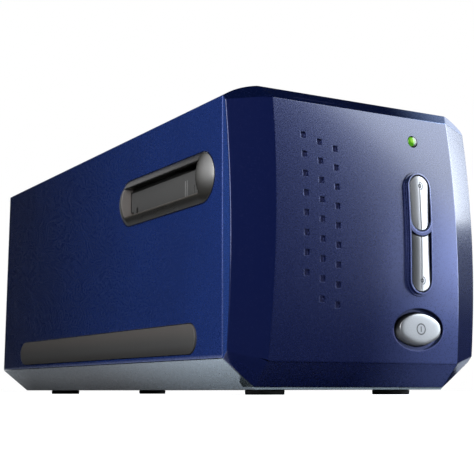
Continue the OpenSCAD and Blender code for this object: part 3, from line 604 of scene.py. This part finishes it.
class SCANNER_OT_casing(Operator):
    """Painted upper shell, silver lower pan and black rear panel"""

    bl_idname = "scanner.casing"
    bl_label = "Casing"

    def fine_work(self, place):
        """Inside the bezel, or in the face where its dimples, plinth and dish are."""
        x, y, z = place
        inside = y > -0.1165
        return inside or (abs(x) < 0.04 and 0.0165 < z < 0.108)

    def execute(self, context):
        set_up = looks("casing")
        deep, pale = tuple(set_up.deep), tuple(set_up.silver)
        navy = metallic_paint(
            "Navy paint", tuple(set_up.navy), deep, 0.45, 0.25, self.shell_shade_and_highlights
        )
        silver = metallic_paint(
            "Silver paint", pale, tuple(c * 0.8 for c in pale), 0.8, dress=self.pan_shade_and_highlight
        )
        black = moulded("Rear panel plastic", painted(30, 31, 36), 0.55)
        front = metallic_paint(
            "Bezel paint", tuple(set_up.bezel), deep, 0.4, 0.7, self.bezel_tones_and_painted_light
        )
        dressed("upper_shell", navy, set_up.edge, 2, 8)
        dressed("base_pan", silver, 0.0003, 2, 8)
        dressed("rear_panel", black, 0.0003, 2, 60)
        middle, plinth_rise, well_depth = (0.0, FACE_Y + FACE_R, FACE_Z), 0.004, 0.0026
        barrels = (0, middle, FACE_R), (0, middle, FACE_R + plinth_rise)
        bezel = dressed("front_bezel", front, set_up.edge, 3, 8, self.fine_work, barrels)
        lowered(bezel, well_depth)
        return {"FINISHED"}

    def shell_shade_and_highlights(self, paint, body):
        """Painted shade towards the rear, painted highlights as pale lines along the edges,
        painted shade in the gaps round the trim.
        """
        x, y, z = paint.axes()
        # Painted shade, darker towards the rear
        body = paint.mix(y.step(-0.06, 0.15) * 0.6, body, painted(13, 14, 42))
        # Painted highlights: pale lines along the lower edge of the sides and along the front edge
        edge = z.step(0.0152, 0.0141) * (abs(x) > 0.058) + y.step(-0.1198, -0.1204)
        body = paint.mix(edge.clipped() * 0.35, body, painted(138, 148, 182))
        slot = self.from_bar(y - SLOT_Y, z - SLOT_Z, 0.0339)
        grip = self.from_bar(y - 0.0035, z - 0.0219, 0.097)
        # Painted shade in the gaps round the slot surrounds and the grips on the sides
        gap_shade = ((slot < 0.01065) + (grip < 0.0063)) * (abs(x) > 0.058)
        return paint.mix(gap_shade.clipped() * 0.85, body, painted(6, 7, 16)), 0.0

    def from_bar(self, along, up, half):
        """Distance from a line of that half length."""
        return apart((abs(along) - half).greater(0.0), up)

    def pan_shade_and_highlight(self, paint, body):
        """Painted shade towards the rear and the floor, a painted highlight along the upper edge.
        """
        y, z = paint.axes()[1:]
        shade = (y.step(-0.115, 0.03) * 0.8 + z.step(0.014, 0.003) * 0.3).clipped()
        # Painted highlight along the upper edge
        body = paint.mix(z.step(0.0085, 0.0135) * 0.5, body, painted(176, 190, 204))
        return paint.mix(shade, body, painted(16, 22, 27)), 0.0

    def bezel_tones_and_painted_light(self, paint, body):
        """Shell navy on the sides, painted shade in the gaps round the buttons, the dish and the
        light, and painted highlights as pale lines beside them.

        The top and side bevels get less coat; painted highlights lie along the parting, on the
        dimple floors and on the right of the top bevel, painted shade on its left, and a painted
        reflection makes the lower right of the face bluer.
        """
        x, y, z = paint.axes()
        across, ahead, up = paint.facing()
        front = ahead < -0.5
        side = abs(ahead).step(0.3, 0.1) * abs(x).step(0.055, 0.057)
        # Painted highlight: a pale line along the rear edge of the sides, at the parting
        parting_highlight = side * y.step(-0.1212, -0.1206)
        body = paint.mix(side, body, painted(36, 62, 128))
        body = paint.mix(parting_highlight * 0.4, body, painted(150, 150, 200))
        beside = x - PLINTH_SEEN_X
        # Distances from the lines that the upper well and the plinth are drawn round
        upper = self.from_bar(z - 0.07735, beside, 0.00655)
        plinth = self.from_bar(z - 0.0649, beside, 0.019)
        nest = apart(z - 0.0708, beside)
        # Painted highlights: pale lines round the rim of the plinth and of the upper well, on the
        # front
        rim = (plinth > 0.00545) * (plinth < 0.00578) + (upper > 0.00545) * (upper < 0.0058)
        body = paint.mix(rim.clipped() * front * 0.3, body, painted(150, 160, 215))
        # Painted shade in the gaps round the buttons, in the dish round the power button and round
        # the status light
        lower = (plinth < 0.00542) * (nest > 0.0068) * (z < 0.07)
        dish = apart((x - DISH_X) / DISH_W, (z - DISH_Z) / DISH_H)
        light = apart(x - LIGHT_X, z - LIGHT_Z)
        gap_shade = lower + (upper < 0.00542) + (dish < 1.0) + (light < 0.0026)
        body = paint.mix(gap_shade.clipped() * 0.9, body, painted(5, 6, 22))
        # Painted highlight: a pale line along the lower edge of the dish
        pale = (dish > 1.0) * (dish < 1.045) * (z < DISH_Z)
        body = paint.mix(pale * front * 0.25, body, painted(140, 140, 190))
        height = z - FACE_Z
        sunk = y - height * height / (2 * FACE_R) - FACE_Y
        # Painted reflection on the floors of the dimples
        dimples = (sunk > 0.0011) * (sunk < 0.0014) * (abs(x + 0.0232) < 0.01) * (z > 0.03)
        body = paint.mix(dimples * front * 0.6, body, painted(74, 78, 128))
        top = up.step(0.2, 0.35)
        # Painted shade on the left of the top bevel, which also gets less coat
        top_left_shade = top * x.step(0.048, 0.02)
        body = paint.mix(top_left_shade * 0.7, body, painted(3, 10, 34))
        # Painted reflection: the lower right of the face bluer and lighter
        lower_right_reflection = front * (across < 0.2) * x.step(-0.005, 0.045) * z.step(0.095, 0.05)
        body = paint.mix(lower_right_reflection * 0.4, body, painted(98, 112, 176))
        # Painted highlight on the right of the top bevel
        body = paint.mix(top * x.step(0.012, 0.056) * 0.75, body, painted(120, 142, 190))
        left_bevel = across.step(-0.2, -0.35) * front
        right_bevel = across.step(0.2, 0.35) * front * z.step(0.05, 0.025)
        return body, (top_left_shade * 0.9 + gap_shade * 0.8 + left_bevel * 0.6 + right_bevel * 0.7).clipped()


class SCANNER_OT_slot_trim(Operator):
    """Slot surrounds, their dust flaps and the flap pins"""

    bl_idname = "scanner.slot_trim"
    bl_label = "Slot trim"

    def execute(self, context):
        set_up = looks("trim")
        trim = moulded(
            "Surround plastic", tuple(set_up.trim), 0.3, 0.0004, 0.00001, 1.4, 0.5, self.slot_shade_and_highlights
        )
        flap = moulded(
            "Flap plastic", tuple(set_up.flap), 0.6, 0.0005, 0.00002, 1.3, 0.3, self.guides
        )
        pin = metal("Pin steel", painted(190, 192, 196), 0.25, (1.0, 0.1, 1.0))
        for side in ("left", "right"):
            dressed("slot_surround_" + side, trim, 0.00035, 3)
            dressed("dust_flap_" + side, flap, 0.00025, 2)
            coat("flap_pin_" + side, pin)
        return {"FINISHED"}

    def guides(self, paint, body):
        """Painted shadow under the hinge and behind the rear end, painted highlights along two
        film guides, and two notches painted dark.
        """
        y, z = paint.axes()[1:]
        shade = (z > 0.0892) + (y > -0.0367)
        notch = (y < -0.0996) * (z < 0.0843) + (abs(y + 0.0425) < 0.0009) * (z < 0.0822)
        # Painted highlights along the two film guides
        guide_highlight = (abs(y + 0.0888) < 0.00022) + (abs(y + 0.0904) < 0.00022)
        body = paint.mix(guide_highlight * (z < 0.0862) * 0.5, body, painted(150, 150, 150))
        return paint.mix((shade + notch).clipped() * 0.92, body, painted(4, 4, 4))

    def slot_shade_and_highlights(self, paint, body):
        """Painted shade: black on the walls inside the slot and darker below it; painted
        highlights: a grey rear wall, a paler front end and a pale line along the inner lower edge.
        """
        y, z = paint.axes()[1:]
        along = abs(y - SLOT_Y)
        reach = along.step(0.0361, 0.0354) * abs(z - SLOT_Z).step(0.0072, 0.0065)
        # Painted shade below the slot
        body = paint.mix(z.step(0.0785, 0.0765) * 0.6, body, painted(14, 13, 11))
        # Painted highlight on the front end
        pale = y.step(-0.104, -0.1125) * z.step(0.078, 0.088)
        body = paint.mix(pale * 0.5, body, painted(150, 150, 150))
        # Painted shade: black on the walls inside the slot, with its rear wall painted a lit grey
        lit_rear_wall = paint.facing()[1] < -0.5
        body = paint.mix(reach * 0.92, body, painted(4, 4, 4))
        body = paint.mix(reach * lit_rear_wall, body, painted(96, 92, 90))
        # Painted highlight along the inner lower edge
        lip_highlight = (abs(z - 0.0783) < 0.0003) * along.step(0.036, 0.034)
        return paint.mix(lip_highlight * 0.3, body, painted(120, 114, 108))


class SCANNER_OT_rubber(Operator):
    """Side grips and feet"""

    bl_idname = "scanner.rubber"
    bl_label = "Rubber grips and feet"

    def execute(self, context):
        set_up = looks("trim")
        grip = moulded(
            "Grip rubber", tuple(set_up.rubber), 0.6, 0.0005, 0.00002, 1.3, 0.35, self.grip_highlight_and_shade
        )
        foot = moulded("Foot rubber", tuple(c * 0.5 for c in set_up.rubber), 0.65)
        dressed("side_grip_left", grip, 0.0004, 3)
        dressed("side_grip_right", grip, 0.0004, 3)
        dressed("feet", foot, 0.0005, 3)
        return {"FINISHED"}

    def grip_highlight_and_shade(self, paint, body):
        """Painted highlight on the upper half, painted shade below."""
        z = paint.axes()[2]
        body = paint.mix(z.step(0.0195, 0.0275) * 0.35, body, painted(98, 92, 88))
        return paint.mix(z.step(0.0205, 0.016) * 0.8, body, painted(26, 25, 24))


class SCANNER_OT_buttons(Operator):
    """Scan buttons, power button and status light"""

    bl_idname = "scanner.buttons"
    bl_label = "Buttons and light"

    def execute(self, context):
        set_up = looks("trim")
        silver = self.silver(set_up)
        lowered(dressed("scan_button_upper", silver, 0.00015, 2, spared=self.in_groove))
        lowered(dressed("scan_button_lower", silver, 0.00015, 2, spared=self.in_groove))
        self.power_button(set_up)
        self.status_light(set_up)
        return {"FINISHED"}

    def in_groove(self, place):
        """True for the edges of the narrow groove down a scan button."""
        return abs(place.x - PLINTH_X) < 0.0003

    def satin(self, name, base, metal_share, rough):
        """Satin metallic plastic with a fine grain: its paint and its colour."""
        paint = Paint(name)
        grain = paint.noise(0.0004, 3.0, 0.65)
        cloud = paint.noise(0.006, 2.0)
        body = paint.mix((grain - 0.35).clipped() * 0.9, base, tuple(c * 0.62 for c in base))
        soft = paint.node("ShaderNodeBevel", {"samples": 6}, {"Radius": 0.0003})
        paint.set(
            Metallic=metal_share,
            Roughness=(grain - 0.5) * 0.12 + (cloud - 0.5) * 0.06 + rough,
            Normal=paint.bump(grain, 0.00001, 0.35, soft)
        )
        return paint, body

    def ring(self, away, radius, width):
        """1 within a ring of that radius and width."""
        return abs(away - radius) < width / 2

    def silver(self, set_up):
        """Silver of the scan buttons, with a small ring and arc printed near the outer ends."""
        paint, body = self.satin("Button silver", tuple(set_up.silver), 0.72, 0.38)
        x, y, z = paint.axes()
        marks = 0.0
        upper_mark, lower_mark = 0.0845, 0.0456
        for mark_z in (upper_mark, lower_mark):
            across = x - (PLINTH_SEEN_X + 0.0003)
            away = apart(across, z - mark_z)
            arc = self.ring(away, 0.0015, 0.0005) * (across > 0.0002)
            marks = arc + (away < 0.0009) * (away > 0.00025) + marks
        front = y < FACE_Y
        shade = x.step(0.0242, 0.0205) * z.step(0.074, 0.06)
        body = paint.mix(shade * front * 0.6, body, painted(52, 54, 58))
        paint.set(Base_Color=paint.mix((marks * front).clipped() * 0.9, body, tuple(set_up.mark)))
        return paint.material

    def power_button(self, set_up):
        """A domed oval cap on its flange and stem, with a ring and bar printed on it."""
        low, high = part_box("power_button")
        centre = (low + high) / 2
        flange, stem_r, end_r = 0.0012, 0.0018, 0.0046
        half_w, half_h = (high.x - low.x) / 2 - flange, (high.z - low.z) / 2 - flange
        crest, back = low.y, high.y
        profile = [
            (-flange, back - 0.0012), (-flange, back - 0.0023), (0.0, back - 0.0023),
            (0.0, crest + 0.0024), (0.0002, crest + 0.0008), (0.00035, crest + 0.0005),
            (0.00065, crest + 0.0003), (0.0012, crest + 0.00018), (0.0019, crest + 0.0001)
        ]
        rings = [self.stem(centre, y, stem_r) for y in (back, back - 0.0012)]
        rings += [self.oval(centre, half_w, half_h, end_r, inset, y) for inset, y in profile]
        made = piece(
            "power_button_cap", lofted("power_button_cap", rings), self.power(set_up, centre),
            body_of("power_button"), "power_button"
        )
        made.data.set_sharp_from_angle(angle=math.radians(50))
        smooth = made.modifiers.new("Smooth cap", "SUBSURF")
        smooth.levels = smooth.render_levels = 1

    def turns(self):
        """The angles of a ring's corners."""
        count = 96
        return [2 * math.pi * i / count for i in range(count)]

    def stem(self, centre, y, radius):
        """A round ring."""
        return [
            (centre.x + radius * math.cos(t), y, centre.z + radius * math.sin(t))
            for t in self.turns()
        ]

    def oval(self, centre, half_w, half_h, end_r, inset, y):
        """An oval of four arcs, drawn in by inset, with a corner each way its outline faces."""
        a = half_w - end_r
        side_r = (a * a + half_h * half_h - end_r * end_r) / (2 * (half_h - end_r))
        turn = math.atan2(side_r - half_h, a)
        ring = []
        for t in self.turns():
            c, s = math.cos(t), math.sin(t)
            steep = abs(math.atan2(abs(s), abs(c)))
            if steep < turn:
                spot = (math.copysign(a, c) + (end_r - inset) * c, (end_r - inset) * s)
            else:
                lift = math.copysign(side_r - half_h, -s)
                spot = ((side_r - inset) * c, lift + (side_r - inset) * s)
            ring.append((centre.x + spot[0], y, centre.z + spot[1]))
        return ring

    def power(self, set_up, centre):
        """Silver with painted shade on the upper side walls, and a ring and an upright bar printed
        in its middle.
        """
        paint, body = self.satin("Power button finish", tuple(set_up.power), 0.7, 0.33)
        turn = paint.facing()
        # Painted shade on the side walls that face upwards
        wall = (turn[1] > -0.6) * turn[2].step(-0.35, 0.25)
        body = paint.mix(wall * 0.85, body, painted(12, 12, 14))
        x, y, z = paint.axes()
        across, up = x - centre.x, z - centre.z
        bar = (abs(across) < 0.00025) * (abs(up) < 0.0011)
        mark = (self.ring(apart(across, up), 0.0021, 0.00055) + bar).clipped() * (y < -0.1325)
        paint.set(Base_Color=paint.mix(mark * 0.85, body, tuple(set_up.mark)))
        return paint.material

    def status_light(self, set_up):
        """Green lens, brighter at its core, with painted shadow round its rim, heaviest on the
        right.
        """
        low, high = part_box("status_light")
        centre = (low + high) / 2
        light = Paint("Status light lens")
        glow = light.noise(0.0015, 1.0)
        x, _, z = light.axes()
        across, up = x - centre.x, z - centre.z
        away = apart(across, up)
        # Painted shadow round the rim of the lens, heaviest on the right
        rim = (away + across * 0.6).step(0.0015, 0.0019)
        core = (away + (across - up) * 0.4).step(0.0011, 0.0004)
        green = light.mix(core * 0.7, tuple(set_up.light), painted(140, 190, 70))
        green = light.mix(rim, green, painted(8, 14, 10))
        light.set(
            Base_Color=green,
            Roughness=glow * 0.05 + 0.1,
            Emission_Color=green,
            Emission_Strength=0.18
        )
        dressed("status_light", light.material, 0.0002, 2)


class SCANNER_OT_electronics(Operator):
    """Boards, switches, indicator and sockets"""

    bl_idname = "scanner.electronics"
    bl_label = "Electronics"

    def execute(self, context):
        coat("control_board", circuit_board("Control board resist", 0, 2))
        coat("main_board", circuit_board("Main board resist", 0, 2))
        coat("sensor_board", circuit_board("Sensor board resist", 0, 2))
        coat("key_switches", moulded("Switch plastic", painted(40, 40, 42), 0.45))
        coat("status_led", glass("Indicator resin", (0.8, 1.0, 0.85)))
        plated = metal("Socket plating", painted(205, 206, 210), 0.22)
        dressed("usb_socket", plated, 0.00015, 2)
        dressed("power_inlet", moulded("Inlet plastic", painted(26, 26, 28), 0.45), 0.0002, 2)
        return {"FINISHED"}


class SCANNER_OT_mechanism(Operator):
    """Chassis, rods, drive and film tunnel"""

    bl_idname = "scanner.mechanism"
    bl_label = "Scan mechanism"

    def execute(self, context):
        plate = metal("Plated sheet", painted(186, 188, 192), 0.32, (0.15, 1.0, 1.0), 0.0008)
        for node in (
            "chassis_plate", "rod_bracket_front", "rod_bracket_rear", "motor_bracket",
            "idler_bracket", "lamp_arm"
        ):
            coat(node, plate)
        ground = metal("Ground steel", painted(214, 215, 218), 0.16, (1.0, 0.08, 1.0))
        for node in ("guide_rods", "gear_axle", "idler_axle"):
            coat(node, ground)
        black = moulded("Frame plastic", painted(36, 36, 39), 0.55)
        for node in ("film_tunnel", "carriage_tray", "lamp_housing"):
            coat(node, black)
        coat("drive_motor", metal("Motor can", painted(170, 172, 176), 0.3, (0.1, 1.0, 1.0)))
        coat("motor_pinion", metal("Pinion brass", painted(214, 186, 112), 0.28))
        acetal = moulded("Acetal", painted(226, 226, 216), 0.42, 0.0008, 0.00001, 1.05)
        coat("belt_gear", acetal)
        coat("idler_pulley", acetal)
        coat("drive_belt", moulded("Belt rubber", painted(28, 28, 28), 0.6, 0.0006, 0.00006))
        screw = metal("Screw steel", painted(150, 150, 154), 0.3)
        coat("case_screws", screw)
        coat("chassis_screws", screw)
        return {"FINISHED"}


class SCANNER_OT_optics(Operator):
    """Lamp, diffuser, mirror and lens"""

    bl_idname = "scanner.optics"
    bl_label = "Optics"

    def execute(self, context):
        coat("lamp_tube", glass("Lamp glass", painted(244, 246, 250), 0.08, 0.9))
        opal = moulded("Opal sheet", painted(238, 238, 234), 0.4, 0.001, 0.00001, 1.02)
        coat("lamp_diffuser", opal)
        coat("fold_mirror", metal("Mirror coating", painted(240, 243, 245), 0.03, size=0.004))
        coat("lens_barrel", moulded("Anodised black", painted(32, 32, 34), 0.35, 0.0003, 0.00001))
        coat("lens_glass", glass("Coated glass", painted(200, 214, 236), 0.03, 0.45))
        return {"FINISHED"}


class SCANNER_OT_stage(Operator):
    """Floor, lamps, background and camera"""

    bl_idname = "scanner.stage"
    bl_label = "Stage"

    def execute(self, context):
        set_up = looks("studio")
        self.floor()
        self.background(set_up.sky)
        blue_white = (0.88, 0.955, 1.0)
        self.lamp(
            "Right lamp", (1.212, -0.598, 0.6), (0.0, -0.12, 0.12), 1.35, 1.2, set_up.key,
            blue_white
        )
        self.lamp("Left lamp", (-0.32, -0.28, 0.22), (-0.06, -0.1, 0.07), 0.2, 0.3, set_up.side)
        self.card("Left card", (-0.5, 2.1, 0.8), (0.02, 4.6, 1.7))
        self.card("Left floor card", (-0.8, 1.6, 0.004), (1.36, 4.2, 0.002))
        self.card("Front card", (-0.3, -1.65, 1.1), (3.0, 0.02, 2.3))
        self.card("Front floor card", (-0.09, -1.209, 0.004), (1.675, 1.6, 0.002), -0.908)
        self.card("Top card", (0.0, 0.5, 1.7), (3.1, 4.2, 0.02))
        self.card("Right floor card", (1.32, 0.9, 0.012), (2.4, 2.2, 0.02))
        self.card("Right card", (0.9, 0.4, 0.11), (0.02, 1.5, 0.22))
        self.camera(set_up)
        context.scene.view_settings.view_transform = "Standard"
        return {"FINISHED"}

    def floor(self):
        """A plain pale floor that keeps the object's shadow."""
        paint = Paint("Pale floor")
        speck = paint.noise(0.02, 2.0)
        seen = paint.node("ShaderNodeLightPath", output="Is Camera Ray")
        paint.set(
            Base_Color=paint.mix(speck * 0.2, (0.9, 0.9, 0.9), (0.86, 0.86, 0.87)),
            Roughness=0.9,
            Specular_IOR_Level=0.1,
            Emission_Color=paint.mix(seen, (0.0, 0.0, 0.0), (0.8, 0.8, 0.8)),
            Emission_Strength=1.0
        )
        mesh = bpy.data.meshes.new("Floor")
        reach = 6.0
        corners = [(-reach, -reach, 0), (reach, -reach, 0), (reach, reach, 0), (-reach, reach, 0)]
        mesh.from_pydata(corners, [], [(0, 1, 2, 3)])
        made = bpy.data.objects.new("Floor", mesh)
        made.data.materials.append(paint.material)
        bpy.context.scene.collection.objects.link(made)

    def background(self, sky):
        """White behind the object, even grey light on it."""
        backdrop = Backdrop("Studio")
        seen, glossy, clear = (
            backdrop.node("ShaderNodeLightPath", output=ray)
            for ray in ("Is Camera Ray", "Is Glossy Ray", "Is Transmission Ray")
        )
        shown = seen.greater(glossy).greater(clear)
        backdrop.set(Color=(1.0, 1.0, 1.0), Strength=shown * (1.0 - sky) + sky)
        bpy.context.scene.world = backdrop.world

    def lamp(self, name, place, target, width, height, power, tint=(1.0, 1.0, 1.0)):
        """A soft rectangular lamp that faces its target."""
        light = bpy.data.lights.new(name, "AREA")
        light.shape = "RECTANGLE"
        light.size, light.size_y = width, height
        light.energy = power
        light.color = tint
        made = bpy.data.objects.new(name, light)
        made.location = place
        aim = Vector(target) - Vector(place)
        made.rotation_euler = aim.to_track_quat("-Z", "Y").to_euler()
        made.visible_camera = False
        bpy.context.scene.collection.objects.link(made)

    def card(self, name, place, size, turn=0.0):
        """A dark card that only reflections see, as a studio uses to deepen a glossy side."""
        mesh = bpy.data.meshes.new(name)
        work = bmesh.new()
        bmesh.ops.create_cube(work, size=1.0)
        bmesh.ops.transform(work, matrix=Matrix.Diagonal((*size, 1.0)), verts=work.verts)
        work.to_mesh(mesh)
        work.free()
        made = bpy.data.objects.new(name, mesh)
        made.location = place
        made.rotation_euler.z = turn
        paint = Paint(name + " cloth")
        paint.set(Base_Color=(0.02, 0.02, 0.02), Roughness=1.0, Specular_IOR_Level=0.0)
        made.data.materials.append(paint.material)
        made.visible_camera = made.visible_diffuse = made.visible_shadow = False
        made.visible_transmission = False
        bpy.context.scene.collection.objects.link(made)

    def camera(self, set_up):
        """The camera at the photograph's place."""
        data = bpy.data.cameras.new("Camera")
        data.lens = set_up.lens * 1000
        data.sensor_width = 36.0
        data.clip_start = 0.01
        made = bpy.data.objects.new("Camera", data)
        bpy.context.scene.collection.objects.link(made)
        yaw, pitch, roll = set_up.yaw, set_up.pitch, set_up.roll
        ahead = Vector((
            math.sin(yaw) * math.cos(pitch), math.cos(yaw) * math.cos(pitch), math.sin(pitch)
        ))
        right = Vector((math.cos(yaw), -math.sin(yaw), 0.0))
        up = right.cross(ahead)
        across = math.cos(roll) * right + math.sin(roll) * up
        over = math.cos(roll) * up - math.sin(roll) * right
        turn = Matrix((across, over, -ahead)).transposed().to_4x4()
        made.matrix_world = Matrix.Translation(set_up.place) @ turn
        bpy.context.scene.camera = made


class SCANNER_PT_panel(Panel):
    """Lists the steps and settings of the scanner"""

    bl_label = "Film scanner"
    bl_idname = "SCANNER_PT_panel"
    bl_space_type = "VIEW_3D"
    bl_region_type = "UI"
    bl_category = "Scanner"

    def draw(self, context):
        layout = self.layout
        for name, group in LOOKS.items():
            box = layout.box()
            box.label(text=name.capitalize())
            for setting in group.__annotations__:
                box.prop(looks(name), setting)
        for operator in STEPS:
            layout.operator(operator.bl_idname)


STEPS = (
    SCANNER_OT_casing, SCANNER_OT_slot_trim, SCANNER_OT_rubber, SCANNER_OT_buttons,
    SCANNER_OT_electronics, SCANNER_OT_mechanism, SCANNER_OT_optics, SCANNER_OT_stage
)


def register():
    for group in (*LOOKS.values(), *STEPS, SCANNER_PT_panel):
        bpy.utils.register_class(group)
    for name, group in LOOKS.items():
        setattr(bpy.types.Scene, "scanner_" + name, PointerProperty(type=group))


def unregister():
    for name in LOOKS:
        delattr(bpy.types.Scene, "scanner_" + name)
    for group in reversed((*LOOKS.values(), *STEPS, SCANNER_PT_panel)):
        bpy.utils.unregister_class(group)


def main():
    register()
    for step in STEPS:
        area, name = step.bl_idname.split(".")
        getattr(getattr(bpy.ops, area), name)()


if __name__ == "__main__":
    main()
